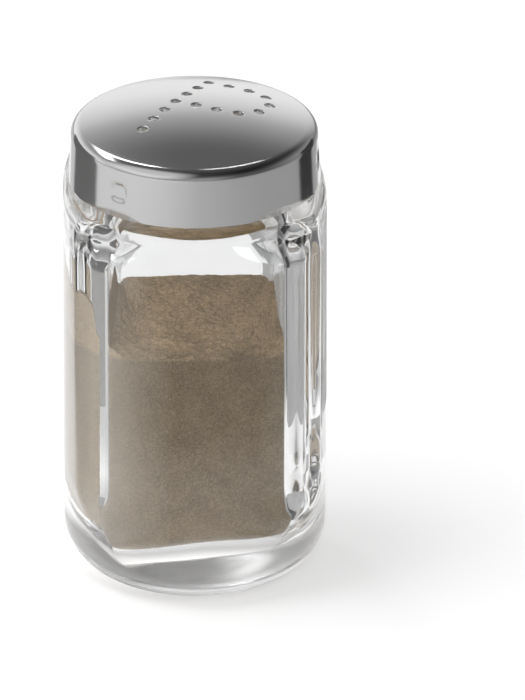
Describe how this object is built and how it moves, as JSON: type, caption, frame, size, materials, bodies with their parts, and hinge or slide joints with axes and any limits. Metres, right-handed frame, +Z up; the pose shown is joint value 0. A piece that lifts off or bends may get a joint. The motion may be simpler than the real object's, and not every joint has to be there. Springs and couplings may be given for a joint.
{
  "type": "pepper shaker",
  "caption": "Pressed-glass pepper shaker with bowed panels and corner facets, a round foot and a domed steel screw lid punched with shaking holes.",
  "frame": {"origin": "centre of the jar's flat contact ring, on the plane it stands on", "axes": "+Z up along the jar's axis; -Y towards the front panel; +X to the right seen from the front"},
  "size_m": [0.042, 0.042, 0.0789],
  "materials": {
    "clear_glass": "fire-polished pressed glass, clear",
    "stainless_steel": "polished stainless sheet",
    "ground_pepper": "coarse dry powder, matt brown"
  },
  "bodies": {
    "jar": {"glass_jar": "clear_glass", "ground_pepper": "ground_pepper"},
    "lid": {"shaker_lid": "stainless_steel"}
  },
  "joints": [
    {"name": "lid_unscrew", "type": "hinge", "parent": "jar", "child": "lid", "pos_m": [0, 0, 0.0671], "axis": [0, 0, 1], "range_deg": [0, 84]}
  ]
}
